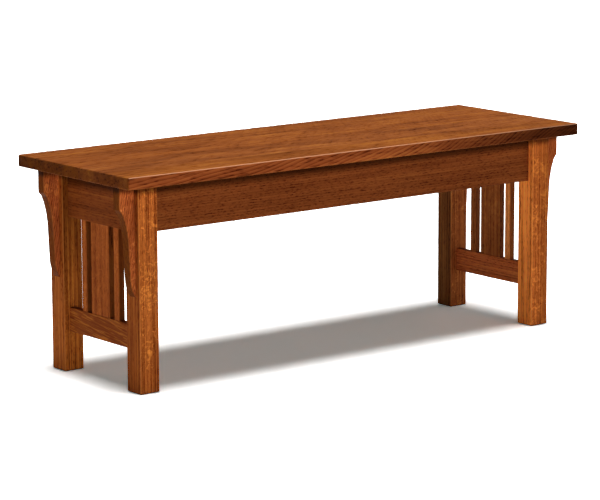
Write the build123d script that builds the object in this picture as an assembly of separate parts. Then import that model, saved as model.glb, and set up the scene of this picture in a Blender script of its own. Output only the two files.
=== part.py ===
"""A backless mission bench in quarter-sawn oak: a board seat on two slatted end frames.

Legs, aprons and rails are joined with mortises and tenons. The seat is held from below by
corner blocks, screws and metal clips. Lengths are in millimetres. The origin is the centre of
the footprint on the floor, X runs along the bench, Y to the rear and Z up.
"""
import os

from build123d import *

# Overall size
bench_length = 1219.2
bench_depth = 406.4
bench_height = 457.2

# Seat, glued up from boards of unequal width, front board first
seat_thickness = 25.4
seat_edge_radius = 2.4
seat_corner_radius = 3.5
board_width_shares = (0.19, 0.255, 0.305, 0.25)

# Legs, and how far the seat stands past them
leg_size = 47.6
end_overhang = 50.4
front_overhang = 41.0
leg_edge_radius = 2.0
foot_chamfer = 2.5

# Front and rear aprons
apron_height = 101.6
apron_thickness = 19.0
apron_inset = 14.8
apron_edge_radius = 1.5
apron_tenon_thickness = 9.5

# End rails
rail_inset = 14.2
rail_thickness = 16.0
upper_rail_height = 102.0
lower_rail_height = 51.5
lower_rail_clearance = 85.5
rail_edge_radius = 1.5
rail_tenon_thickness = 8.0
rail_tenon_length = 28.0

# Slats, one wide between two narrow
wide_slat_width = 65.5
narrow_slat_width = 18.0
slat_gap = 17.0
slat_thickness = 14.0
slat_edge_chamfer = 0.8
slat_tenon_length = 12.0
slat_tenon_thickness = 7.0

# Shoulders round the tenons and the fit of every wooden joint
tenon_shoulder = 9.0
slat_tenon_shoulder = 2.5
joint_fit = 0.1
joint_end_gap = 1.0

# Corbels, as distances out from the leg and down from the seat
corbel_thickness = 22.0
corbel_projection = 36.6
corbel_nose_height = 49.0
corbel_cut_depth = 7.2
corbel_cut_height = 8.3
corbel_neck_depth = 15.4
corbel_neck_drop = 119.5
corbel_heel_depth = 11.8
corbel_length = 231.0
corbel_toe_height = 38.0
corbel_edge_chamfer = 1.0

# The spline let into each corbel and its leg
spline_thickness = 6.0
spline_in_leg = 6.0
spline_in_corbel = 8.0
spline_top_drop = 16.0
spline_bottom_drop = 176.0

# Corner blocks
block_thickness = 22.0
block_height = 45.0
block_leg_gap = 2.2

# Pan-headed wood screws
screw_diameter = 4.5
screw_head_diameter = 9.0
screw_head_height = 3.0
screw_tip_length = 4.0
screw_fit = 0.15
leg_screw_bite = 16.0
seat_screw_bite = 15.0
seat_screw_offset = 18.0

# Metal clips that let the seat move with the seasons
clip_gauge = 1.6
clip_width = 20.0
clip_bend_radius = 2.2
clip_tongue_length = 8.0
clip_stand = 2.5
clip_flange_length = 19.0
clip_hole_share = 0.55
clip_screw_length = 15.0
clip_distance = 230.0
kerf_drop = 11.0
kerf_height = 3.2
kerf_depth = 9.0

# Overrun of a cutter past the face that it opens
cutter_overrun = 1.0

diagonal = 2 ** 0.5

# Places worked out from the sizes above
leg_height = bench_height - seat_thickness
leg_outer_x = bench_length / 2 - end_overhang
leg_outer_y = bench_depth / 2 - front_overhang
leg_inner_x = leg_outer_x - leg_size
leg_inner_y = leg_outer_y - leg_size
leg_x = leg_outer_x - leg_size / 2
leg_y = leg_outer_y - leg_size / 2
apron_y = leg_outer_y - apron_inset - apron_thickness / 2
apron_inner_y = apron_y - apron_thickness / 2
rail_x = leg_outer_x - rail_inset - rail_thickness / 2
rail_inner_x = rail_x - rail_thickness / 2
upper_rail_bottom = leg_height - upper_rail_height
lower_rail_top = lower_rail_clearance + lower_rail_height
rail_tenon_face_x = rail_x - rail_tenon_thickness / 2
apron_tenon_length = rail_tenon_face_x - leg_inner_x - joint_end_gap
apron_tenon_height = apron_height - 2 * tenon_shoulder
upper_tenon_height = upper_rail_height - 2 * tenon_shoulder
lower_tenon_height = lower_rail_height - 2 * tenon_shoulder
narrow_slat_y = wide_slat_width / 2 + slat_gap + narrow_slat_width / 2

# The right rear corner block lies between two lines of constant X plus Y
block_outer_line = leg_inner_x + leg_inner_y - block_leg_gap * diagonal
block_inner_line = block_outer_line - block_thickness * diagonal
block_middle_line = (block_outer_line + block_inner_line) / 2
block_bottom = leg_height - block_height
block_middle_z = leg_height - block_height / 2
leg_screw_length = block_thickness + block_leg_gap + leg_screw_bite
seat_screw_length = block_height + seat_screw_bite

CENTRE_LOW = (Align.CENTER, Align.CENTER, Align.MIN)


def block_between(low, high):
    """A plain block given by its lowest and highest corners."""
    size = [b - a for a, b in zip(low, high)]
    return Pos(*low) * Box(*size, align=(Align.MIN, Align.MIN, Align.MIN))


def swap_sides(shape, left, front):
    """A copy of a rear right piece, moved to another corner by reflection."""
    if left:
        shape = mirror(shape, about=Plane.YZ)
    if front:
        shape = mirror(shape, about=Plane.XZ)
    return shape


def long_edges(shape, axis, low, high):
    """Edges along one axis whose height lies between two values."""
    edges = shape.edges().filter_by(axis)
    return edges.filter_by(lambda edge: low <= edge.center().Z <= high)


def upright_cylinder(diameter, bottom, top):
    """A round bar on the Z axis from one height to another."""
    return Pos(0, 0, bottom) * Cylinder(diameter / 2, top - bottom, align=CENTRE_LOW)


def wood_screw(length):
    """A pan-headed screw with the underside of its head at the origin and its point upwards."""
    shank_length = length - screw_tip_length
    head = upright_cylinder(screw_head_diameter, -screw_head_height, 0)
    shank = upright_cylinder(screw_diameter, 0, shank_length)
    point = Cone(screw_diameter / 2, 0, screw_tip_length, align=CENTRE_LOW)
    return head + shank + Pos(0, 0, shank_length) * point


def screw_hole(length):
    """The pilot and clearance hole of a screw, a little longer than the screw."""
    return upright_cylinder(screw_diameter + 2 * screw_fit, -cutter_overrun, length + joint_end_gap)


def leg_screw_place():
    """Place of the screw through the right rear block into the inner corner of the leg."""
    stand = (block_thickness + block_leg_gap) / diagonal
    return Pos(leg_inner_x - stand, leg_inner_y - stand, block_middle_z) * Rot(0, 0, 45) * Rot(0, 90, 0)


def seat_screw_place():
    """Place of the screw through the right rear block into the seat, on the apron's side."""
    middle = block_middle_line / 2
    half_step = (leg_inner_x - leg_inner_y) / 2
    along = seat_screw_offset / diagonal
    return Pos(middle + half_step - along, middle - half_step + along, block_bottom)


def at_four_corners(shape):
    """A right rear shape and its copies in the other three corners."""
    return [swap_sides(shape, left, front) for left in (False, True) for front in (False, True)]


def clip_places():
    """Places of the clips: two on each apron and one on each upper end rail."""
    places = []
    for x in (-clip_distance, clip_distance):
        places.append(Pos(x, -apron_inner_y, leg_height) * Rot(0, 0, 90))
        places.append(Pos(x, apron_inner_y, leg_height) * Rot(0, 0, -90))
    places.append(Pos(-rail_inner_x, 0, leg_height))
    places.append(Pos(rail_inner_x, 0, leg_height) * Rot(0, 0, 180))
    return places


clip_screw_place = Pos(clip_stand + clip_flange_length * clip_hole_share, 0, -clip_gauge)


def seat_slab():
    """The whole seat before it is shared out into boards, with its holes for screws."""
    slab = Pos(0, 0, leg_height) * Box(bench_length, bench_depth, seat_thickness, align=CENTRE_LOW)
    slab = fillet(slab.edges().filter_by(Axis.Z), seat_corner_radius)
    rims = slab.faces().sort_by(Axis.Z)[-1].edges() + slab.faces().sort_by(Axis.Z)[0].edges()
    slab = fillet(rims, seat_edge_radius)
    slab -= at_four_corners(seat_screw_place() * screw_hole(seat_screw_length))
    slab -= [place * clip_screw_place * screw_hole(clip_screw_length) for place in clip_places()]
    return slab


def seat_boards():
    """The slab cut along its glue lines, from the front board to the rear one."""
    names = ("front", "mid_front", "mid_rear", "rear")
    slab = seat_slab()
    boards = {}
    front = -bench_depth / 2
    for name, share in zip(names, board_width_shares):
        rear = front + bench_depth * share
        low = (-bench_length, front, leg_height - cutter_overrun)
        high = (bench_length, rear, bench_height + cutter_overrun)
        boards["seat_board_" + name] = slab & block_between(low, high)
        front = rear
    return boards


def rail_mortise(middle_z, tenon_height):
    """The mortise that takes an end rail in the right rear leg."""
    half_x = rail_tenon_thickness / 2 + joint_fit
    half_z = tenon_height / 2 + joint_fit
    low = (rail_x - half_x, leg_inner_y - cutter_overrun, middle_z - half_z)
    depth = rail_tenon_length + joint_end_gap
    high = (rail_x + half_x, leg_inner_y + depth, middle_z + half_z)
    return block_between(low, high)


def apron_mortise():
    """The mortise that takes an apron, open at its end to the mortise of the upper rail."""
    half_y = apron_tenon_thickness / 2 + joint_fit
    half_z = apron_tenon_height / 2 + joint_fit
    middle_z = leg_height - apron_height / 2
    low = (leg_inner_x - cutter_overrun, apron_y - half_y, middle_z - half_z)
    high = (rail_x, apron_y + half_y, middle_z + half_z)
    return block_between(low, high)


def spline_block(slack):
    """The spline between the right rear leg and corbel, or with some slack its groove."""
    low = (leg_outer_x - spline_in_leg, leg_y - spline_thickness / 2, leg_height - spline_bottom_drop)
    high = (leg_outer_x + spline_in_corbel, leg_y + spline_thickness / 2, leg_height - spline_top_drop)
    return block_between([value - slack for value in low], [value + slack for value in high])


def leg():
    """The right rear leg, with eased arrises and a chamfered foot."""
    post = Pos(leg_x, leg_y, 0) * Box(leg_size, leg_size, leg_height, align=CENTRE_LOW)
    post = chamfer(post.faces().sort_by(Axis.Z)[0].edges(), foot_chamfer)
    post = fillet(post.edges().filter_by(Axis.Z), leg_edge_radius)
    post -= rail_mortise(leg_height - upper_rail_height / 2, upper_tenon_height)
    post -= rail_mortise(lower_rail_clearance + lower_rail_height / 2, lower_tenon_height)
    post -= apron_mortise()
    post -= spline_block(joint_fit)
    return post - leg_screw_place() * screw_hole(leg_screw_length)


def apron():
    """The rear apron: a board with a tenon at each end and a kerf for the clips."""
    middle_z = leg_height - apron_height / 2
    board = Pos(0, apron_y, middle_z) * Box(2 * leg_inner_x, apron_thickness, apron_height)
    lower = long_edges(board, Axis.X, 0, middle_z)
    board = fillet(lower, apron_edge_radius)
    tenon_span = 2 * (leg_inner_x + apron_tenon_length)
    board += Pos(0, apron_y, middle_z) * Box(tenon_span, apron_tenon_thickness, apron_tenon_height)
    kerf_low = (-leg_inner_x, apron_inner_y - cutter_overrun, leg_height - kerf_drop - kerf_height)
    kerf_high = (leg_inner_x, apron_inner_y + kerf_depth, leg_height - kerf_drop)
    return board - block_between(kerf_low, kerf_high)


def slat_rows():
    """The name, centre and width of each slat, from the front to the rear."""
    return (
        ("front", -narrow_slat_y, narrow_slat_width),
        ("centre", 0, wide_slat_width),
        ("rear", narrow_slat_y, narrow_slat_width),
    )


def rail(middle_z, height, tenon_height):
    """A right end rail with a tenon at each end, before its slat mortises."""
    board = Pos(rail_x, 0, middle_z) * Box(rail_thickness, 2 * leg_inner_y, height)
    tenon_span = 2 * (leg_inner_y + rail_tenon_length)
    tenon = Pos(rail_x, 0, middle_z) * Box(rail_tenon_thickness, tenon_span, tenon_height)
    return board, tenon


def slat_mortises(face_z, direction):
    """Cutters for the slat tenons, into a rail from one of its edges."""
    depth = slat_tenon_length + joint_end_gap
    half_x = slat_tenon_thickness / 2 + joint_fit
    bottom, top = sorted((face_z - direction * cutter_overrun, face_z + direction * depth))
    cutters = []
    for _, y, width in slat_rows():
        half_y = width / 2 - slat_tenon_shoulder + joint_fit
        low = (rail_x - half_x, y - half_y, bottom)
        high = (rail_x + half_x, y + half_y, top)
        cutters.append(block_between(low, high))
    return cutters


def upper_rail():
    """The right upper rail, with slat mortises below and a kerf for its clip inside."""
    middle_z = leg_height - upper_rail_height / 2
    board, tenon = rail(middle_z, upper_rail_height, upper_tenon_height)
    board = fillet(long_edges(board, Axis.Y, 0, middle_z), rail_edge_radius) + tenon
    board -= slat_mortises(upper_rail_bottom, 1)
    kerf_low = (rail_inner_x - cutter_overrun, -leg_inner_y, leg_height - kerf_drop - kerf_height)
    kerf_high = (rail_inner_x + kerf_depth, leg_inner_y, leg_height - kerf_drop)
    return board - block_between(kerf_low, kerf_high)


def lower_rail():
    """The right lower rail, eased all round, with slat mortises above."""
    middle_z = lower_rail_clearance + lower_rail_height / 2
    board, tenon = rail(middle_z, lower_rail_height, lower_tenon_height)
    board = fillet(long_edges(board, Axis.Y, 0, bench_height), rail_edge_radius) + tenon
    return board - slat_mortises(lower_rail_top, -1)


def slat(y, width):
    """A right end slat with a stub tenon at each end."""
    height = upper_rail_bottom - lower_rail_top
    middle = Pos(rail_x, y, (upper_rail_bottom + lower_rail_top) / 2)
    strip = Box(slat_thickness, width, height)
    strip = chamfer(strip.edges().filter_by(Axis.Z), slat_edge_chamfer)
    tenon_width = width - 2 * slat_tenon_shoulder
    strip += Box(slat_tenon_thickness, tenon_width, height + 2 * slat_tenon_length)
    return middle * strip


def corbel():
    """The right rear corbel: a square nose, an undercut, a long hollow and a rounded toe."""
    top = leg_height
    nose_bottom = top - corbel_nose_height
    cut_end = (corbel_projection - corbel_cut_depth, nose_bottom - corbel_cut_height)
    neck = (corbel_neck_depth, top - corbel_neck_drop)
    toe = (0, top - corbel_length)
    heel = (corbel_heel_depth, top - corbel_length + corbel_toe_height)
    with BuildPart() as bracket:
        with BuildSketch(Plane((leg_outer_x, leg_y, 0), x_dir=(1, 0, 0), z_dir=(0, -1, 0))):
            with BuildLine():
                Polyline((0, top), (corbel_projection, top), (corbel_projection, nose_bottom), cut_end)
                taper = Line(heel, neck)
                TangentArc(neck, cut_end, tangent=taper % 1)
                TangentArc(heel, toe, tangent=(taper % 0) * -1)
                Line(toe, (0, top))
            make_face()
        extrude(amount=corbel_thickness / 2, both=True)
    body = bracket.part
    outline = body.edges().filter_by(lambda edge: abs(edge.center().Y - leg_y) > corbel_thickness / 4)
    outline = outline.filter_by(lambda edge: edge.center().X > leg_outer_x + corbel_edge_chamfer)
    outline = outline.filter_by(lambda edge: edge.center().Z < top - corbel_edge_chamfer)
    body = chamfer(outline, corbel_edge_chamfer)
    return body - spline_block(joint_fit)


def corner_block():
    """The right rear block, set across the corner behind the leg."""
    outline = (
        (block_outer_line - apron_inner_y, apron_inner_y),
        (block_inner_line - apron_inner_y, apron_inner_y),
        (rail_inner_x, block_inner_line - rail_inner_x),
        (rail_inner_x, block_outer_line - rail_inner_x),
    )
    block = extrude(make_face(Polyline(*outline, close=True)), amount=block_height)
    block = Pos(0, 0, block_bottom) * block
    block -= leg_screw_place() * screw_hole(leg_screw_length)
    return block - seat_screw_place() * screw_hole(seat_screw_length)


def seat_clip():
    """A Z clip of sheet steel, tongue in the kerf and flange under the seat."""
    tongue_z = -kerf_drop - clip_gauge / 2
    flange_z = -clip_gauge / 2
    riser_x = clip_stand + clip_gauge / 2
    path = FilletPolyline(
        (-clip_tongue_length, tongue_z),
        (riser_x, tongue_z),
        (riser_x, flange_z),
        (clip_stand + clip_flange_length, flange_z),
        radius=clip_bend_radius,
    )
    strip = Plane.XZ * trace(path, line_width=clip_gauge)
    clip = extrude(strip, amount=clip_width / 2, both=True)
    return clip - clip_screw_place * screw_hole(clip_screw_length)


def at_clips(shape):
    """One copy of a shape at every clip."""
    return [place * shape for place in clip_places()]


def build_pieces():
    """Every node of the bench by name, as one solid or a list of like solids."""
    pieces = dict(seat_boards())
    for left, side in ((True, "left"), (False, "right")):
        for front, end in ((True, "front"), (False, "rear")):
            pieces["leg_" + end + "_" + side] = swap_sides(leg(), left, front)
            pieces["corbel_" + end + "_" + side] = swap_sides(corbel(), left, front)
            pieces["corner_block_" + end + "_" + side] = swap_sides(corner_block(), left, front)
        pieces["end_rail_upper_" + side] = swap_sides(upper_rail(), left, False)
        pieces["end_rail_lower_" + side] = swap_sides(lower_rail(), left, False)
        for name, y, width in slat_rows():
            pieces["slat_" + side + "_" + name] = swap_sides(slat(y, width), left, False)
    pieces["apron_front"] = swap_sides(apron(), False, True)
    pieces["apron_rear"] = apron()
    pieces["corbel_splines"] = at_four_corners(spline_block(0))
    pieces["corner_leg_screws"] = at_four_corners(leg_screw_place() * wood_screw(leg_screw_length))
    pieces["corner_seat_screws"] = at_four_corners(seat_screw_place() * wood_screw(seat_screw_length))
    pieces["seat_clips"] = at_clips(seat_clip())
    pieces["seat_clip_screws"] = at_clips(clip_screw_place * wood_screw(clip_screw_length))
    return pieces


os.makedirs("parts", exist_ok=True)
for node, shape in build_pieces().items():
    solids = shape if isinstance(shape, list) else [shape]
    group = Compound(children=[solid for item in solids for solid in item.solids()])
    export_step(group, "parts/" + node + ".step")
    print(node, len(solids), [round(v, 1) for v in group.bounding_box().size])
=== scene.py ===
# %% [markdown]
# # A backless mission bench in quarter-sawn oak
# The joints, boards, clips and screws were drawn in CAD and packed as a fixed frame. This lesson
# loads them, sets up the studio, gives every piece its finish and models the screws in full.
# Lengths in Blender are in metres; sizes of grain, flecks and pores are written in millimetres.

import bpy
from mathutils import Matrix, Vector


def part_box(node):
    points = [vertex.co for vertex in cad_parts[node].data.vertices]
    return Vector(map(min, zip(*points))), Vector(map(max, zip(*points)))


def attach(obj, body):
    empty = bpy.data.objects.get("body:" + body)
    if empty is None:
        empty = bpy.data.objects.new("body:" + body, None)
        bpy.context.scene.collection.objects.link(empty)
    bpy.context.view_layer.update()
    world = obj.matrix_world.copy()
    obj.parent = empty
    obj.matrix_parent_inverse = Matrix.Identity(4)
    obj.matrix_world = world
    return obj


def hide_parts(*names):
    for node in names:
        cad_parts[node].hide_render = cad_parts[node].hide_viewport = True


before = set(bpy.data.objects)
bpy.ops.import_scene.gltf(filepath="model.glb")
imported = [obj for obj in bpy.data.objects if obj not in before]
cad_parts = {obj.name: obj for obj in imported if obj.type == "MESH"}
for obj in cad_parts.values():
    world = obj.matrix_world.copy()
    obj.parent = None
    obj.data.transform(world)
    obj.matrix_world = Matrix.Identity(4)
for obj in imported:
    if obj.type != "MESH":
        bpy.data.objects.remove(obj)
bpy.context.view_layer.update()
print("pieces loaded:", len(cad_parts))

# %% [markdown]
# A few small helpers come first. Colours are written as sRGB hex values, as a picture editor shows
# them, and shaders want linear numbers. An operator acts on everything that is selected, and the
# loaded pieces come in selected, so one helper deselects all of it before each step.

# %% Helpers for colours and selection
import math
from functools import partial

import bpy
from mathutils import Matrix, Vector

MM = 0.001
X_AXIS = (1, 0, 0)
Y_AXIS = (0, 1, 0)
Z_AXIS = (0, 0, 1)


def linear(hex_colour):
    """Turns an sRGB hex colour into the linear numbers that a shader wants, with alpha 1."""
    channels = [int(hex_colour[i:i + 2], 16) / 255 for i in (1, 3, 5)]
    return [c / 12.92 if c <= 0.04045 else ((c + 0.055) / 1.055) ** 2.4 for c in channels] + [1.0]


def select_only(*objects):
    """Deselects everything, then selects these and makes the first one active."""
    bpy.ops.object.select_all(action="DESELECT")
    for item in objects:
        item.select_set(True)
    if objects:
        bpy.context.view_layer.objects.active = objects[0]


def select_points(mesh, wanted):
    """Selects the points of a mesh that pass a test, with the edges and faces between them."""
    for point in mesh.vertices:
        point.select = wanted(point.co)
    for part in (*mesh.edges, *mesh.polygons):
        part.select = all(mesh.vertices[index].select for index in part.vertices)


select_only()
print("white in linear numbers:", linear("#FFFFFF"))

# %% [markdown]
# A material is a small network of nodes. One helper adds any node: its own properties go in as
# keyword settings, and a table fills its sockets with numbers, colours or other nodes' outputs.
# It gives back the output that the next node needs.

# %% One helper adds any node
def add_node(tree, kind, sockets=(), output=0, **settings):
    """Adds a node; sockets maps a socket's name or number to a value or to an output."""
    node = tree.nodes.new("ShaderNode" + kind)
    for name, value in settings.items():
        setattr(node, name, value)
    for socket, value in dict(sockets).items():
        if isinstance(value, bpy.types.NodeSocket):
            tree.links.new(value, node.inputs[socket])
        else:
            node.inputs[socket].default_value = value
    return node.outputs[output] if len(node.outputs) else None


def new_material(name):
    """An empty material, and the helper above tied to its network."""
    material = bpy.data.materials.new(name)
    material.use_nodes = True
    material.node_tree.nodes.clear()
    return material, partial(add_node, material.node_tree)


# %% Settings that many nodes share
# A Mix node has the same names on its sockets for numbers and for colours, so they go by number.
SHARE = 0
NUMBER_A, NUMBER_B = 2, 3
COLOUR_A, COLOUR_B = 6, 7
OF_COLOURS = {"output": 2, "data_type": "RGBA"}
TIMES = {"operation": "MULTIPLY"}
TIMES_PLUS = {"operation": "MULTIPLY_ADD"}
LARGER = {"operation": "MAXIMUM"}
DOT = {"output": "Value", "operation": "DOT_PRODUCT"}
EASED = {"interpolation_type": "SMOOTHSTEP"}

# %% [markdown]
# ## The studio
# The photograph was taken with a long lens from the front left, a little above the seat. The
# place and the angles below come from fitting the bench's known edges to the picture.

# %% Camera
CAMERA_PLACE = (-3.88010, -4.95178, 1.38261)
CAMERA_YAW = 37.9294
CAMERA_PITCH = 10.5434
CAMERA_ROLL = -0.2187
CAMERA_LENS = 176.417
SENSOR_WIDE = 36.0
FARTHEST = 1000.0

camera = bpy.data.objects.new("camera", bpy.data.cameras.new("camera"))
bpy.context.scene.collection.objects.link(camera)
camera.data.sensor_width = SENSOR_WIDE
camera.data.sensor_fit = "HORIZONTAL"
camera.data.lens = CAMERA_LENS
camera.data.clip_end = FARTHEST
turn = Matrix.Rotation(math.radians(-CAMERA_YAW), 4, "Z")
tilt = Matrix.Rotation(math.radians(90 - CAMERA_PITCH), 4, "X")
roll = Matrix.Rotation(math.radians(CAMERA_ROLL), 4, "Z")
camera.matrix_world = Matrix.Translation(CAMERA_PLACE) @ turn @ tilt @ roll
bpy.context.scene.camera = camera
bpy.context.scene.view_settings.view_transform = "Standard"
print("camera is", round(Vector(CAMERA_PLACE).length, 2), "m from the bench")

# %% [markdown]
# The bench stands on a large sheet of matt white backdrop paper, which gives an even ground with
# no line at the back. To the camera, and in reflections, the sheet is drawn brighter than it is,
# as an overexposed backdrop is in a catalogue photograph. The light that it throws on the bench
# stays as it is, and only the dark middle of the soft shadow stays visible. A faint cool glow
# keeps that shadow grey, because the bench above it throws warm brown light down.

# %% Floor
FLOOR_SIZE = 600.0
FLOOR_WHITE = 1.0
FLOOR_SEEN = 2.2
FLOOR_GLOW = 0.10
FLOOR_GLOW_COLOUR = linear("#C0FFFF")
# A hair below the feet, so that the sheet and the feet never lie in one plane.
FLOOR_DROP = 0.3 * MM

bpy.ops.mesh.primitive_plane_add(size=FLOOR_SIZE, location=(0, 0, -FLOOR_DROP))
floor = bpy.context.active_object
floor.name = "floor"
paper, add = new_material("matt_white_backdrop_paper")
seen = 0.0
for kind_of_ray in ("Is Camera Ray", "Is Glossy Ray", "Is Transmission Ray"):
    seen = add("Math", {0: add("LightPath", output=kind_of_ray), 1: seen}, **LARGER)
white = add("MapRange", {"Value": seen, "To Min": FLOOR_WHITE, "To Max": FLOOR_SEEN})
matt = add("BsdfDiffuse", {"Color": white})
strength = add("Math", {0: seen, 1: FLOOR_GLOW}, **TIMES)
glow = add("Emission", {"Color": FLOOR_GLOW_COLOUR, "Strength": strength})
add("OutputMaterial", {"Surface": add("AddShader", {0: matt, 1: glow})})
floor.data.materials.append(paper)
select_only()
print("floor:", FLOOR_SIZE, "m wide, in", paper.name)

# %% [markdown]
# Most of the light comes from a soft box overhead. A sun lamp with a wide angle does that at the
# same strength everywhere, and its width sets how soft the shadow's edge is. A second, narrower
# lamp stands for a strip light at the front right. It is seen only in gloss, where it draws a
# glint along the eased edges and leaves the plain faces as they are.

# %% Soft box and strip light
SOFT_BOX_SHARE = 1.0
SOFT_BOX_ANGLE = 23.0
SOFT_BOX_LEAN = 2.5
STRIP_SHARE = 2.0
STRIP_ANGLE = 10.0
STRIP_FROM = (0.40, -0.51, 0.77)


def sun_lamp(name, share, angle, turn):
    """A sun lamp; with a share of 1 it shows a white surface that faces it as white."""
    lamp = bpy.data.objects.new(name, bpy.data.lights.new(name, "SUN"))
    bpy.context.scene.collection.objects.link(lamp)
    lamp.data.energy = share * math.pi
    lamp.data.angle = math.radians(angle)
    lamp.rotation_euler = turn
    return lamp


soft_box_turn = (math.radians(SOFT_BOX_LEAN), 0, 0)
soft_box = sun_lamp("soft_box", SOFT_BOX_SHARE, SOFT_BOX_ANGLE, soft_box_turn)
strip_turn = Vector(STRIP_FROM).to_track_quat("Z", "Y").to_euler()
strip = sun_lamp("strip_light", STRIP_SHARE, STRIP_ANGLE, strip_turn)
strip.visible_diffuse = False
print("lamps:", soft_box.name, "and", strip.name)

# %% [markdown]
# The rest of the light is a plain surround. It is brighter towards the front right, which leaves
# the left end of the bench darker, as in the photograph. It is bright near the horizon and fades
# out higher up. So it lights the upright faces, while the seat and the floor get their light from
# the soft box, and the shadow stays dark. At the horizon itself it is white, like the sheet.

# %% Surround
FRONT_RIGHT = (0.42, -0.91, 0.0)
SURROUND_DARK = 0.04
SURROUND_BRIGHT = 1.44
SURROUND_POWER = 2.2
SURROUND_TOP = 0.6
WHITE_BAND = 0.05
WHITE_BAND_FULL = 0.7 * WHITE_BAND
PURE_WHITE = (1, 1, 1, 1)

world = bpy.data.worlds.new("studio")
world.use_nodes = True
bpy.context.scene.world = world
world.node_tree.nodes.clear()
add = partial(add_node, world.node_tree)
direction = add("TexCoord", output="Generated")
facing = add("VectorMath", {0: direction, 1: FRONT_RIGHT}, **DOT)
share = add("MapRange", {"Value": facing, "From Min": -1.0})
curve = add("Math", {0: share, 1: SURROUND_POWER}, operation="POWER")
level = add("MapRange", {"Value": curve, "To Min": SURROUND_DARK, "To Max": SURROUND_BRIGHT})
height = add("SeparateXYZ", {0: direction}, output="Z")
low = add("MapRange", {"Value": height, "From Max": SURROUND_TOP, "To Min": 1.0, "To Max": 0.0})
level = add("Math", {0: level, 1: low}, **TIMES)
band = add("MapRange", {"Value": height, "From Min": WHITE_BAND, "From Max": WHITE_BAND_FULL})
light = add("Mix", {SHARE: band, NUMBER_A: level, NUMBER_B: 1.0})
background = add("Background", {"Color": PURE_WHITE, "Strength": light})
add("OutputWorld", {"Surface": background})
print("surround:", world.name, "from", SURROUND_DARK, "to", SURROUND_BRIGHT)

# %% [markdown]
# ## Stained quarter-sawn oak
# Oak is drawn here as it grows, as a solid pattern that every saw cut simply shows, so the figure
# runs on round each edge. Everything is measured in a place that is turned for each board: X runs
# out from the pith and Z runs along the grain. Each board comes from its own length of the tree,
# so no two show the same figure.

# %% Place in the tree
# How far apart along the tree two boards start, in metres.
TREE_STEP = 0.613
# The middle value of a noise, and how strong its finer parts are.
NOISE_MIDDLE = 0.5
FINE_PARTS = 0.6


def wood_place(add, box, cut):
    """The surface's place, with X out from the pith and Z along the grain."""
    grain = Vector(cut["grain"]).normalized()
    outward = Vector(cut["outward"])
    outward = (outward - grain * grain.dot(outward)).normalized()
    turned = Matrix((outward, grain.cross(outward), grain))
    middle = turned @ ((box[0] + box[1]) / 2)
    start = Vector((cut["pith"] * MM, 0.0, cut["seed"] * TREE_STEP)) - middle
    place = add("TexCoord", output="Object")
    return add("Mapping", {"Vector": place, "Location": start, "Rotation": turned.to_euler()})


def soft_pattern(add, place, sizes_mm, **sockets):
    """A soft pattern from 0 to 1, as coarse along each axis as its real size in millimetres."""
    repeats = [1 / MM / size for size in sizes_mm]
    point = add("VectorMath", {0: place, 1: repeats}, **TIMES)
    return add("TexNoise", {"Vector": point, "Scale": 1.0, **sockets})


# %% [markdown]
# Oak is ring-porous: each year's ring starts with a line of large pores that takes up stain and
# shows dark, then fades into hard pale wood. The distance from the pith, made a little crooked,
# gives the rings. Where a board's edge crosses a bent trunk, the rings run out at a slant.

# %% Growth rings
# Real rings are 2 to 4 mm wide; they are drawn a little wider so that they show at this distance.
RING = 5.2
# The trunk's slow wobble, and runs of good and bad years.
WARP = (140.0, 140.0, 300.0)
YEAR_LONG = 400.0
BAND = (16.0, RING, 1200.0)
EARLY_WOOD_POWER = 2.0
VIGOUR = {"From Min": 0.3, "From Max": 0.7, "To Min": 0.25}


def growth_rings(add, place, cut):
    """The dark early wood of each year, and slower bands of good and bad years, from 0 to 1."""
    crooked = soft_pattern(add, place, WARP, Detail=2.0)
    flat = add("VectorMath", {0: place, 1: (1, 1, 0)}, **TIMES)
    radius = add("VectorMath", {0: flat}, output="Value", operation="LENGTH")
    radius = add("Math", {0: crooked, 1: 2 * cut["warp"] * MM, 2: radius}, **TIMES_PLUS)
    along = add("SeparateXYZ", {0: place}, output="Z")
    slope, bow = cut["runout"]
    if slope:
        here = add("Math", {0: along, 1: cut["seed"] * TREE_STEP}, operation="SUBTRACT")
        bend = add("Math", {0: here, 1: -bow, 2: -slope}, **TIMES_PLUS)
        radius = add("Math", {0: here, 1: bend, 2: radius}, **TIMES_PLUS)
    years = add("Math", {0: radius, 1: 1 / MM / cut["ring_mm"]}, **TIMES)
    phase = add("Math", {0: years}, operation="FRACT")
    left = add("Math", {0: 1.0, 1: phase}, operation="SUBTRACT")
    early = add("Math", {0: left, 1: EARLY_WOOD_POWER}, operation="POWER")
    ring_place = add("CombineXYZ", {"X": radius, "Z": along})
    year_size = (2 * cut["ring_mm"], RING, YEAR_LONG)
    year = soft_pattern(add, ring_place, year_size, Detail=2.0)
    early = add("Math", {0: early, 1: add("MapRange", {"Value": year, **VIGOUR})}, **TIMES)
    return early, soft_pattern(add, ring_place, BAND, Detail=3.0, Roughness=FINE_PARTS)


# %% [markdown]
# Rays are thin ribbons that run outwards from the pith. A face cut along them shows broad golden
# flecks with dark rims, which is what quarter-sawn oak is prized for; a face cut across them
# shows only fine lines. A noise stretched outwards and squeezed sideways gives both. A broader
# noise lifts it in some patches and lowers it in others, because flecks come in groups.

# %% Ray flecks
# Real rays are under 1 mm thick; they are drawn thicker so that they show at this distance.
RAY = (12.0, 2.6, 11.0)
RAY_SHAPE = {"Detail": 2.5, "Roughness": 0.55, "Distortion": 1.0}
RAY_GROUP = (45.0, 45.0, 90.0)
FLECK = {"From Min": 0.51, "From Max": 0.76}
RIM_RISES = {"From Min": 0.44, "From Max": 0.50}
RIM_FALLS = {"From Min": 0.58, "From Max": 0.52}


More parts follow.
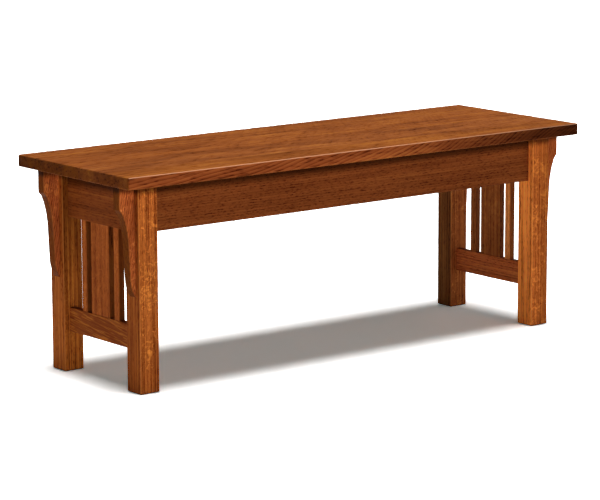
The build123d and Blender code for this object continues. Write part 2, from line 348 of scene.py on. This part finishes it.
def ray_flecks(add, place, patchy):
    """Golden flecks and the dark rims round them, from 0 to 1."""
    rays = soft_pattern(add, place, RAY, **RAY_SHAPE)
    group = soft_pattern(add, place, RAY_GROUP, Detail=1.0)
    group = add("Math", {0: group, 1: NOISE_MIDDLE}, operation="SUBTRACT")
    rays = add("Math", {0: group, 1: patchy, 2: rays}, **TIMES_PLUS)
    flecks, rising, falling = (
        add("MapRange", {"Value": rays, **limits}, **EASED)
        for limits in (FLECK, RIM_RISES, RIM_FALLS)
    )
    return flecks, add("Math", {0: rising, 1: falling}, **TIMES)


# %% [markdown]
# Stain gathers in the open pores as short dark dashes, and soaks in unevenly in long streaks and
# broad clouds. These three patterns are the same kind of noise, stretched more or less.

# %% Pores, streaks and clouds
# Real pores are about 0.3 mm wide; they are drawn wider so that they show at this distance.
PORE = (1.6, 12.0)
STREAK = (6.0, 320.0)
CLOUD = (80.0, 330.0)
PORE_EDGE = {"From Min": 0.53, "From Max": 0.66}
PORE_DENSITY = {"From Max": 0.6, "To Min": 0.45}


def along_grain(add, place, size, detail):
    """A soft pattern as wide and as long along the grain as asked, from 0 to 1."""
    wide, long = size
    return soft_pattern(add, place, (wide, wide, long), Detail=detail, Roughness=FINE_PARTS)


def pore_marks(add, place, early, size):
    """Short dark dashes along the grain, denser in the early wood."""
    pattern = along_grain(add, place, size, 1.0)
    marks = add("MapRange", {"Value": pattern, **PORE_EDGE}, **EASED)
    density = add("MapRange", {"Value": early, **PORE_DENSITY})
    return add("Math", {0: marks, 1: density}, **TIMES)


# %% [markdown]
# Faces of one board take the stain differently: cut ends drink it and go dark. Arrises are made
# paler, partly as wear where the stain is rubbed off and partly as a painted highlight. The squares
# of the surface's normal add up to 1, so they say how much a face looks along X, Y or Z, and their
# products in pairs are largest on the arris between two faces.

# %% Faces and arrises
# Only arrises that face upwards or sideways are made paler, where hands and cloths rub and where
# the painted highlight falls.
REACHED = {"From Min": -0.3, "From Max": -0.1}


def face_shares(add):
    """How much the surface looks along X, Y and Z, and how near it is to each kind of arris."""
    normal = add("TexCoord", output="Normal")
    squares = add("VectorMath", {0: normal, 1: normal}, **TIMES)
    shares = [add("SeparateXYZ", {0: squares}, output=axis) for axis in "XYZ"]
    turned = add("CombineXYZ", {"X": shares[1], "Y": shares[2], "Z": shares[0]})
    arrises = add("VectorMath", {0: squares, 1: turned}, **TIMES)
    upward = add("SeparateXYZ", {0: normal}, output="Z")
    reach = add("MapRange", {"Value": upward, **REACHED})
    arrises = add("VectorMath", {0: arrises, "Scale": reach}, operation="SCALE")
    return squares, shares, arrises


# %% [markdown]
# Each pattern now adds to one number, the tone of the wood, where a half is the plain stain. Rings
# and flecks count more on some faces than on others, as the saw met them. One number is easier to
# balance than many colours, and dark marks and gold flecks can lie over each other.

# %% Tone of the wood
PLAIN_TONE = 0.5
RIM_DARK = -0.2


def wood_tone(add, place, squares, cut):
    """The figure of the wood as one number, and its pores on their own."""
    early, bands = growth_rings(add, place, cut)
    pores = pore_marks(add, place, early, cut["pore_mm"])
    ring_share = add("VectorMath", {0: squares, 1: cut["ring"]}, **DOT)
    layers = [
        (along_grain(add, place, CLOUD, 3.0), cut["cloud"]),
        (bands, cut["band"]),
        (along_grain(add, place, cut["streak_mm"], 2.0), cut["streak"]),
        (add("Math", {0: early, 1: ring_share}, **TIMES), -1.0),
        (pores, -cut["pore"]),
    ]
    if any(cut["fleck"]):
        flecks, rims = ray_flecks(add, place, cut["patchy"])
        fleck_share = add("VectorMath", {0: squares, 1: cut["fleck"]}, **DOT)
        layers += [
            (add("Math", {0: rims, 1: fleck_share}, **TIMES), RIM_DARK),
            (add("Math", {0: flecks, 1: fleck_share}, **TIMES), 1.0),
        ]
    tone = PLAIN_TONE * (1 - cut["cloud"] - cut["band"] - cut["streak"])
    for pattern, strength in layers:
        tone = add("Math", {0: pattern, 1: strength, 2: tone}, **TIMES_PLUS)
    return tone, pores


# %% [markdown]
# Below a tone of a half the colour falls to a deep red brown, and above it rises to gold. Both
# are the stain's own colour, multiplied, so each board stays itself. The arrises are then mixed
# with a paler colour, partly as wear, because sanding and hands rub the stain off them first, and
# partly as a painted highlight along the eased edges.

# %% Colour of the wood
DEEP = (0.26, 0.17, 0.11)
GOLD = (1.75, 2.25, 1.9)
RIGHT_SIDE = {"From Min": -0.1, "From Max": 0.1}
# The product of two squares is at most a quarter, in the middle of an arris.
ARRIS_PEAK = 0.25


def stain_colour(add, shares, cut):
    """The plain stain on each face, from the colours of the faces along X, Y and Z."""
    along_x, along_y, along_z = (linear(hex_colour) for hex_colour in cut["stain"])
    if cut["far_side"]:
        # The side towards the right is out of the photograph's view and has a stain of its own.
        right = add("SeparateXYZ", {0: add("TexCoord", output="Normal")}, output="X")
        right = add("MapRange", {"Value": right, **RIGHT_SIDE})
        colours = {SHARE: right, COLOUR_A: along_x, COLOUR_B: linear(cut["far_side"])}
        along_x = add("Mix", colours, **OF_COLOURS)
    stain = add("Mix", {SHARE: shares[1], COLOUR_A: along_x, COLOUR_B: along_y}, **OF_COLOURS)
    return add("Mix", {SHARE: shares[2], COLOUR_A: stain, COLOUR_B: along_z}, **OF_COLOURS)


def wood_colour(add, tone, stain, arrises, cut):
    """The stain made deeper or golden by the tone, and paler on the arrises, as wear and as painted
    highlight.
    """
    deep = add("VectorMath", {0: stain, 1: DEEP}, **TIMES)
    gold = add("VectorMath", {0: stain, 1: GOLD}, **TIMES)
    to_stain = add("MapRange", {"Value": tone, "From Max": PLAIN_TONE})
    to_gold = add("MapRange", {"Value": tone, "From Min": PLAIN_TONE})
    colour = add("Mix", {SHARE: to_stain, COLOUR_A: deep, COLOUR_B: stain}, **OF_COLOURS)
    colour = add("Mix", {SHARE: to_gold, COLOUR_A: colour, COLOUR_B: gold}, **OF_COLOURS)
    strengths = [share / ARRIS_PEAK for share in cut["wear_and_highlight"]]
    wear_and_highlight_share = add("VectorMath", {0: arrises, 1: strengths}, **DOT)
    colours = {SHARE: wear_and_highlight_share, COLOUR_A: colour, COLOUR_B: linear(cut["wear_and_highlight_colour"])}
    return add("Mix", colours, **OF_COLOURS)


# %% [markdown]
# Under the seat the colour is darkened as painted shade, the shade that the seat throws on the
# aprons, rails, corbels and tops of the legs, and the foot is darkened as painted shade too. Some
# boards also go from light to dark along their length, as a board does that took its stain
# unevenly; on the rear left leg's front face that darkening is painted shade. Both multiply the
# colour.

# %% Painted shade in corners, and fades along a board
SEAT_BOTTOM = 431.8 * MM
# The painted shade under the seat: how dark it gets, and the share of its depth, from the seat,
# that is fully dark.
PAINTED_SHADE_SHARE = 0.22
PAINTED_SHADE_FULL = 0.4
# The painted shade at the foot: how high it reaches, and how dark it gets.
FOOT_SHADE_DEPTH = 4 * MM
FOOT_SHADE_SHARE = 0.45


def painted_corner_shade(add, height, depth):
    """Painted shade: darker in the corner under the seat and at the foot."""
    under_seat = add("MapRange", {
        "Value": height, "From Min": SEAT_BOTTOM - depth,
        "From Max": SEAT_BOTTOM - PAINTED_SHADE_FULL * depth, "To Min": 1.0, "To Max": PAINTED_SHADE_SHARE,
    }, **EASED)
    foot = add("MapRange", {"Value": height, "From Max": FOOT_SHADE_DEPTH, "To Min": FOOT_SHADE_SHARE})
    return add("Math", {0: under_seat, 1: foot}, **TIMES)


def length_shade(add, where, box, squares, cut):
    """From one shade to another along an axis, on the faces that the cut names."""
    axis, start, low, high = cut["fade"]
    first, last = (corner["XYZ".index(axis)] for corner in box)
    faded = add("MapRange", {
        "Value": add("SeparateXYZ", {0: where}, output=axis),
        "From Min": first + start * (last - first), "From Max": last, "To Min": low, "To Max": high,
    }, **EASED)
    facing = add("VectorMath", {0: squares, 1: cut["fade_on"]}, **DOT)
    return add("Mix", {SHARE: facing, NUMBER_A: 1.0, NUMBER_B: faded})


def painted_shade_and_fades(add, box, squares, cut):
    """The painted shade and the fades on one board, which multiply its colour."""
    where = add("TexCoord", output="Object")
    shades = []
    if cut["painted_shade_depth"]:
        height = add("SeparateXYZ", {0: where}, output="Z")
        shades.append(painted_corner_shade(add, height, cut["painted_shade_depth"] * MM))
    if cut["fade"]:
        shades.append(length_shade(add, where, box, squares, cut))
    return shades


# %% [markdown]
# The real boards look like oak that was stained, wiped and sprayed with a thin satin lacquer. To
# the eye that is a deep colour under a very faint, soft sheen, duller where the pores are open.
# In the photograph the upright faces show nearly no reflection, so the sheen's level is set far
# below that of a thick lacquer, and it is tinted warm. The pores are sunk a little.

# %% The oak material
LACQUER_IOR = 1.5
SHEEN = 0.006
WARM_SHEEN = linear("#FFC79A")
ROUGH_LACQUER = 0.38
ROUGH_PORE = 0.62
PORE_DEPTH = 0.25 * MM
PORE_STRENGTH = 0.6


def oak(name, box, cut):
    """Stained oak for one board, from its cut: grain, tree, colours and strengths of figure."""
    material, add = new_material(name)
    squares, shares, arrises = face_shares(add)
    tone, pores = wood_tone(add, wood_place(add, box, cut), squares, cut)
    colour = wood_colour(add, tone, stain_colour(add, shares, cut), arrises, cut)
    for shade in painted_shade_and_fades(add, box, squares, cut):
        shaded = {SHARE: 1.0, COLOUR_A: colour, COLOUR_B: shade}
        colour = add("Mix", shaded, blend_type="MULTIPLY", **OF_COLOURS)
    sunk = add("Math", {0: pores, 1: -1.0}, **TIMES)
    bump = add("Bump", {"Height": sunk, "Distance": PORE_DEPTH, "Strength": PORE_STRENGTH})
    rough = add("MapRange", {"Value": pores, "To Min": ROUGH_LACQUER, "To Max": ROUGH_PORE})
    shader = add("BsdfPrincipled", {
        "Base Color": colour, "Roughness": rough, "Normal": bump, "IOR": LACQUER_IOR,
        "Specular IOR Level": SHEEN, "Specular Tint": WARM_SHEEN,
    })
    add("OutputMaterial", {"Surface": shader})
    return material


# %% [markdown]
# Boards from different trees take the stain differently. The seat is a medium brown and its front
# edge is redder, the legs are bright orange with golden fleck, and the aprons and rails are
# darker. Each row gives the colours of the faces that look along X, Y and Z. A few faces are also
# made brighter with painted light, and some darker with painted shade, as noted at their rows.

# %% Colours of the stained boards
# Cut ends drink the stain and go dark.
END_GRAIN = "#5A2C12"
FACE_COLOURS = {
    "seat_board_front": ("#703913", "#9E5027", "#9E5824"),
    "seat_board_mid_front": ("#703913", "#8A4420", "#9C5728"),
    "seat_board_mid_rear": ("#663208", "#8A4420", "#9B5525"),
    "seat_board_rear": ("#572906", "#8A4420", "#995424"),
    "leg_front_left": ("#A25422", "#C2682D", END_GRAIN),
    "leg_rear_left": ("#B76329", "#B16226", END_GRAIN),
    # Its inner face along X is brighter, partly its own tone and partly painted light that reaches
    # in under the bench from the left.
    "leg_front_right": ("#F38B3E", "#B9622A", END_GRAIN),
    # Its inner face along X is darker, partly its own tone and partly painted shade, deep under the
    # seat behind the front apron.
    "leg_rear_right": ("#74431F", "#A65B2D", END_GRAIN),
    "apron_front": (END_GRAIN, "#874620", "#6A3416"),
    "apron_rear": (END_GRAIN, "#8A461F", "#6A3416"),
    "end_rail_upper_left": ("#86441D", END_GRAIN, "#6A3416"),
    "end_rail_upper_right": ("#8A451F", END_GRAIN, "#6A3416"),
    "end_rail_lower_left": ("#8A441C", END_GRAIN, "#7C3F1B"),
    # Its inner face along X is brighter, partly its own tone and partly painted light that reaches
    # in under the bench from the left.
    "end_rail_lower_right": ("#C46836", END_GRAIN, "#8C451F"),
    # The slats' narrow faces along Y are darker as painted shade in the gaps between the slats.
    "slat_left_front": ("#B05C29", "#6F3815", END_GRAIN),
    "slat_left_centre": ("#B05C29", "#6F3815", END_GRAIN),
    "slat_left_rear": ("#B05C29", "#6F3815", END_GRAIN),
    "slat_right_front": ("#EB8F4B", "#8A4A22", END_GRAIN),
    "slat_right_centre": ("#955226", "#7A4020", END_GRAIN),
    "slat_right_rear": ("#955226", "#7A4020", END_GRAIN),
    "corbel_front_left": ("#733A0E", "#C66734", END_GRAIN),
    "corbel_front_right": ("#85380A", "#AA5528", END_GRAIN),
    "corbel_rear_left": ("#743810", "#C86A36", END_GRAIN),
    "corbel_rear_right": ("#743810", "#AA5528", END_GRAIN),
}
print("boards with colours:", len(FACE_COLOURS))

# %% [markdown]
# The cut of each kind of piece follows real practice: legs and slats are quartered, with their
# rays along the wide faces, aprons and rails are rift cut with straight lines, and the seat's
# front edge runs out of a bent trunk, so its rings slant more and more towards the right. All
# cuts start from one plain board and change what differs.

# %% Cuts of the pieces
# Sizes in mm: pith (distance from the tree's middle), warp, ring_mm, streak_mm, pore_mm, and the
# depth of the painted shade under the seat. Strengths on the faces along X, Y and Z: ring, fleck,
# fade_on. On arrises XY, YZ and ZX: the paler colour that is partly wear, partly painted highlight.
PLAIN = dict(
    pith=160, warp=3, runout=(0, 0), ring_mm=RING, ring=(0.2, 0.2, 0.2), fleck=(0, 0, 0),
    patchy=0.6, cloud=0.35, band=0.35, streak=0.3, streak_mm=STREAK, pore=0.35, pore_mm=PORE,
    wear_and_highlight=(0.12, 0.12, 0.12), wear_and_highlight_colour="#C87A3C", painted_shade_depth=26, fade=None, fade_on=(1, 1, 1),
    far_side=None,
)
# The seat's pale top front arris is partly wear and partly a painted highlight.
SEAT = dict(
    PLAIN, grain=X_AXIS, outward=(0, 0.35, 1), pith=230, warp=14, runout=(0.36, 0.25),
    ring_mm=6.8, ring=(0.12, 0.7, 0.06), cloud=0.8, streak=0.8, streak_mm=(24.0, 340.0),
    pore_mm=(4.5, 30.0), wear_and_highlight=(0, 0.9, 0.05), wear_and_highlight_colour="#E2A27C", painted_shade_depth=0, fade_on=Y_AXIS,
)
# The legs' paler upright arrises are partly wear and partly a painted highlight.
LEG = dict(
    PLAIN, grain=Z_AXIS, outward=X_AXIS, pith=150, ring=(0.3, 0.35, 0.3), fleck=(0.08, 0.3, 0),
    patchy=0.75, streak=1.3, pore=0.4, pore_mm=(2.0, 14.0), wear_and_highlight=(0.5, 0, 0),
    wear_and_highlight_colour="#DB8A45",
)
APRON = dict(
    PLAIN, grain=X_AXIS, outward=(0, 0.3, 1), pith=200, ring=(0.2, 0.22, 0.2), streak=0.55,
    pore=0.5, pore_mm=(1.8, 9.0), painted_shade_depth=34,
)
RAIL = dict(
    PLAIN, grain=Y_AXIS, outward=(0.3, 0, 1), pith=120, warp=5, ring=(0.18, 0.2, 0.3),
    streak=0.9, painted_shade_depth=42,
)
SLAT = dict(
    PLAIN, grain=Z_AXIS, outward=Y_AXIS, ring=(0.25, 0.2, 0.3), fleck=(0.12, 0, 0), streak=0.8,
    painted_shade_depth=0,
)
CORBEL = dict(
    PLAIN, grain=(0.2, 0, 1), outward=(1, 0.4, 0), pith=90, warp=7, ring=(0.2, 0.4, 0.3),
    fleck=(0, 0.3, 0), streak=0.5, wear_and_highlight=(0.2, 0, 0), painted_shade_depth=20,
)
KINDS = {"seat": SEAT, "leg": LEG, "apron": APRON, "end": RAIL, "slat": SLAT, "corbel": CORBEL}

# %% [markdown]
# A few boards have something of their own in the photograph: the slanting rings and the dark right
# end of the seat's front board, the broad flecks of the front left leg, and the pale streaks of
# the lower left rail. The right end's outer faces are not in view and follow the left end's.

# %% What single boards have of their own
# A fade is an axis, where along the board it starts, and its shades at that place and at the end.
OWN = {
    "seat_board_front": dict(
        fade=("X", 0.42, 1.0, 0.22), seed=27, ring=(0.12, 0.55, 0.06), warp=20, ring_mm=7.5,
        runout=(0.3, 0.22),
    ),
    "leg_front_left": dict(
        fade=("Z", 0.1, 0.88, 1.08), fade_on=Y_AXIS, seed=1, fleck=(0.1, 0.42, 0), patchy=0.6,
    ),
    # Its front face is darker towards the top as painted shade from the apron, the rails and the
    # front leg before it.
    "leg_rear_left": dict(fade=("Z", 0.02, 1.25, 0.52), fade_on=Y_AXIS, fleck=(0.05, 0.12, 0)),
    "leg_front_right": dict(fade=("X", 0, 1.15, 0.85), seed=17, far_side="#A85A26"),
    "leg_rear_right": dict(far_side="#A85A26"),
    "apron_front": dict(fade=("X", 0.3, 1.0, 0.9)),
    "end_rail_lower_left": dict(grain=(0, 1, 0.12), pore=-1.1, pore_mm=(3.2, 45.0)),
    "end_rail_lower_right": dict(far_side="#8A451F"),
    "slat_right_front": dict(far_side="#955226"),
}


def dress(node_name, material):
    """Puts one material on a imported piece, in place of the plain one it came with."""
    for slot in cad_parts[node_name].material_slots:
        slot.material = material


for number, (node_name, stain) in enumerate(FACE_COLOURS.items()):
    cut = dict(KINDS[node_name.split("_")[0]], stain=stain, seed=number + 1)
    cut.update(OWN.get(node_name, {}))
    dress(node_name, oak("stained_oak_" + node_name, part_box(node_name), cut))
print("boards given a finish:", len(FACE_COLOURS))

# %% [markdown]
# The corner blocks are offcuts of the same oak, sawn with their grain across the corner and given
# one thin coat of stain, because nobody sees them. The splines are plain beech, straight and pale.

# %% Corner blocks and splines
BLOCK = dict(
    PLAIN, stain=("#8C5A34", "#8C5A34", "#7A4A28"), outward=Z_AXIS, pith=70,
    ring=(0.35, 0.35, 0.3), streak=0.8, painted_shade_depth=0,
)
SPLINE = dict(
    PLAIN, stain=("#C79A6E", "#C79A6E", "#B98A60"), grain=Z_AXIS, outward=X_AXIS,
    ring=(0.1, 0.1, 0.1), ring_mm=3.0, streak=0.4, cloud=0.2, pore=0.12, painted_shade_depth=0, seed=40,
)
# For each block, how its grain crosses from X to Y, and its length of the tree.
BLOCKS = {
    "front_left": (-1, 32), "front_right": (1, 31), "rear_left": (1, 34), "rear_right": (-1, 33),
}

for corner, (across, seed) in BLOCKS.items():
    node_name = "corner_block_" + corner
    cut = dict(BLOCK, grain=(1, across, 0), seed=seed)
    dress(node_name, oak("thinly_stained_oak_" + node_name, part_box(node_name), cut))
dress("corbel_splines", oak("plain_beech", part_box("corbel_splines"), SPLINE))
print("blocks given a finish:", len(BLOCKS), "and the splines")

# %% [markdown]
# Clips and screws are mild steel with a thin bright coat of zinc. Zinc plate is a little blue and
# cloudy, with a soft shine, so its colour and roughness follow a fine cloudy noise. The pressed
# sheet of the clips is duller than the rolled wire of the screws.

# %% Zinc-plated steel
ZINC_PALE = "#C9CACB"
ZINC_GREY = "#A3A5A8"
# The clouds in real zinc plate are about as coarse as this, in mm.
ZINC_CLOUD = (2.5, 2.5, 2.5)


def zinc_plate(name, smooth, dull):
    """Zinc-plated steel between two values of roughness."""
    material, add = new_material(name)
    cloudy = soft_pattern(add, add("TexCoord", output="Object"), ZINC_CLOUD, Detail=3.0)
    colours = {SHARE: cloudy, COLOUR_A: linear(ZINC_PALE), COLOUR_B: linear(ZINC_GREY)}
    colour = add("Mix", colours, **OF_COLOURS)
    rough = add("MapRange", {"Value": cloudy, "To Min": smooth, "To Max": dull})
    shader = add("BsdfPrincipled", {"Base Color": colour, "Roughness": rough, "Metallic": 1.0})
    add("OutputMaterial", {"Surface": shader})
    return material


zinc_sheet = zinc_plate("zinc_plated_steel_sheet", smooth=0.30, dull=0.50)
zinc_screw = zinc_plate("zinc_plated_steel_wire", smooth=0.22, dull=0.38)
dress("seat_clips", zinc_sheet)
print("clips given a finish:", zinc_sheet.name)

# %% [markdown]
# ## The screws
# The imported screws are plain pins. A real wood screw of this kind has a shallow domed pan head, a
# cross recess for the driver, and a rolled thread on the lower two thirds of its shank. It could
# be turned from one outline with a spin, but a head from a cylinder keeps its faces regular. So a
# short cylinder is the head, its rim is bevelled into the dome, and its underside is inset and
# extruded ring by ring into shank, thread and point.

# %% Sizes of a screw
HEAD_WIDE = 9.0 * MM
HEAD_TALL = 3.0 * MM
SHANK_WIDE = 4.5 * MM
ROOT_WIDE = 3.2 * MM
POINT_WIDE = 0.05 * ROOT_WIDE
POINT_LONG = 4.0 * MM
THREAD_SHARE = 0.62
THREAD_PITCH = 1.8 * MM
# One turn of the thread: shares of the pitch, and the width that each one ends with.
THREAD_TURN = ((0.25, ROOT_WIDE), (0.45, ROOT_WIDE), (0.2, SHANK_WIDE), (0.1, SHANK_WIDE))
SIDES = 20
DOME = 0.7
DOME_STEPS = 5
ROUND = 0.5
# A head's end points are those within this share of its height from the end.
AT_END = 0.1


def shank_rings(length):
    """Steps along the shank and the width after each: plain, threaded, then the point."""
    thread_long = THREAD_SHARE * (length - POINT_LONG)
    rings = [(length - POINT_LONG - thread_long, SHANK_WIDE)]
    for _ in range(int(thread_long / THREAD_PITCH)):
        rings += [(share * THREAD_PITCH, width) for share, width in THREAD_TURN]
    used = sum(step for step, _ in rings)
    return rings + [(length - POINT_LONG - used, ROOT_WIDE), (POINT_LONG, POINT_WIDE)]


def extrude_ring(step, width_before, width_after):
    """Extrudes the selected end face onwards and makes its ring wider or narrower."""
    bpy.ops.mesh.extrude_region_move(TRANSFORM_OT_translate={"value": (0, 0, step)})
    ratio = width_after / width_before
    bpy.ops.transform.resize(value=(ratio, ratio, 1), center_override=(0, 0, 0))


# %% One screw of a given length
def wood_screw(length):
    """A screw with the underside of its head at the origin and its point upwards."""
    select_only()
    bpy.ops.mesh.primitive_cylinder_add(
        vertices=SIDES, radius=HEAD_WIDE / 2, depth=HEAD_TALL, location=(0, 0, -HEAD_TALL / 2),
    )
    screw = bpy.context.active_object
    bpy.ops.object.transform_apply(location=True)
    mesh = screw.data
    select_points(mesh, lambda point: point.z < (AT_END - 1) * HEAD_TALL)
    bpy.ops.object.mode_set(mode="EDIT")
    bpy.ops.mesh.bevel(
        offset=DOME * HEAD_TALL, segments=DOME_STEPS, profile=ROUND, affect="EDGES",
    )
    bpy.ops.object.mode_set(mode="OBJECT")
    select_points(mesh, lambda point: point.z > -AT_END * HEAD_TALL)
    bpy.ops.object.mode_set(mode="EDIT")
    bpy.ops.mesh.inset(thickness=(HEAD_WIDE - SHANK_WIDE) / 2)
    width = SHANK_WIDE
    for step, next_width in shank_rings(length):
        extrude_ring(step, width, next_width)
        width = next_width
    bpy.ops.mesh.select_all(action="SELECT")
    bpy.ops.mesh.normals_make_consistent(inside=False)
    bpy.ops.object.mode_set(mode="OBJECT")
    print("screw", round(length / MM, 1), "mm long below its head")
    return screw


# %% [markdown]
# The cross recess is punched into the real head with a tapered tool. Here two slim bars, tapered
# towards the bottom of the recess, are cut from the head one after the other with a Boolean.

# %% Cross recess
RECESS_WIDE = 1.2 * MM
RECESS_LONG = 5.4 * MM
RECESS_DEEP = 1.9 * MM
RECESS_TAPER = 0.55
SMOOTH_BELOW = 35


def cut_recess(screw):
    """Cuts the cross recess with two slim tapered bars, and smooths the round faces."""
    for turn in (0, math.pi / 2):
        select_only()
        bpy.ops.mesh.primitive_cube_add(size=1, location=(0, 0, -HEAD_TALL), rotation=(0, 0, turn))
        bar = bpy.context.active_object
        bar.scale = (RECESS_LONG, RECESS_WIDE, 2 * RECESS_DEEP)
        bpy.ops.object.transform_apply(location=True, rotation=True, scale=True)
        select_points(bar.data, lambda point: point.z > -HEAD_TALL)
        bpy.ops.object.mode_set(mode="EDIT")
        taper = (RECESS_TAPER, RECESS_TAPER, 1)
        bpy.ops.transform.resize(value=taper, center_override=(0, 0, 0))
        bpy.ops.object.mode_set(mode="OBJECT")
        select_only(screw)
        cutter = screw.modifiers.new("recess", "BOOLEAN")
        cutter.operation = "DIFFERENCE"
        cutter.object = bar
        bpy.ops.object.modifier_apply(modifier=cutter.name)
        bpy.data.objects.remove(bar)
    select_only(screw)
    bpy.ops.object.shade_smooth_by_angle(angle=math.radians(SMOOTH_BELOW))


# %% [markdown]
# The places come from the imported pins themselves: their points are sorted into one group for each
# pin, and the middle and the head end of a group give the axis and the seat of one screw.

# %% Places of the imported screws
def pin_groups(node_name, key):
    """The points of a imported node, sorted into its separate pins."""
    groups = {}
    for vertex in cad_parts[node_name].data.vertices:
        groups.setdefault(key(vertex.co), []).append(vertex.co.copy())
    return list(groups.values())


def pin_place(points, towards):
    """The turn and place that bring a modelled screw onto one packed pin, and its length."""
    turn = Vector(towards).normalized().to_track_quat("Z", "Y").to_matrix()
    local = [turn.transposed() @ point for point in points]
    lows = [min(point[axis] for point in local) for axis in range(3)]
    highs = [max(point[axis] for point in local) for axis in range(3)]
    seat = Vector(((lows[0] + highs[0]) / 2, (lows[1] + highs[1]) / 2, lows[2] + HEAD_TALL))
    return Matrix.Translation(turn @ seat) @ turn.to_4x4(), highs[2] - lows[2] - HEAD_TALL


def by_corner(point):
    """Which of the four corners a point belongs to."""
    return point.x > 0, point.y > 0


def by_decimetre(point):
    """Which decimetre of the bench a point belongs to."""
    return round(10 * point.x), round(10 * point.y)


def to_corner(group):
    """From the middle of the bench towards the leg of the pin's corner."""
    return math.copysign(1, group[0].x), math.copysign(1, group[0].y), 0


def straight_up(group):
    """Up into the seat."""
    return Z_AXIS


# %% [markdown]
# All screws of one kind are alike, so one is modelled and then copied to each place, each copy
# with its own mesh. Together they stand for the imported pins, which are then no longer shown.

# %% Set the screws in their places
def set_screws(node_name, key, towards):
    """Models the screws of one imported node, all alike, and lets them stand for it."""
    places = [pin_place(group, towards(group)) for group in pin_groups(node_name, key)]
    master = wood_screw(places[0][1])
    cut_recess(master)
    copies = []
    for place, _ in places:
        copy = bpy.data.objects.new(node_name, master.data.copy())
        bpy.context.scene.collection.objects.link(copy)
        copy.data.transform(place)
        copies.append(copy)
    bpy.data.objects.remove(master)
    select_only(*copies)
    bpy.ops.object.join()
    screws = bpy.context.active_object
    screws.name = node_name + "_full"
    screws.data.materials.append(zinc_screw)
    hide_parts(node_name)
    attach(screws, "root")
    print(screws.name, len(copies), "screws,", len(screws.data.polygons), "faces")


set_screws("corner_leg_screws", by_corner, to_corner)
set_screws("corner_seat_screws", by_corner, straight_up)
set_screws("seat_clip_screws", by_decimetre, straight_up)
select_only()
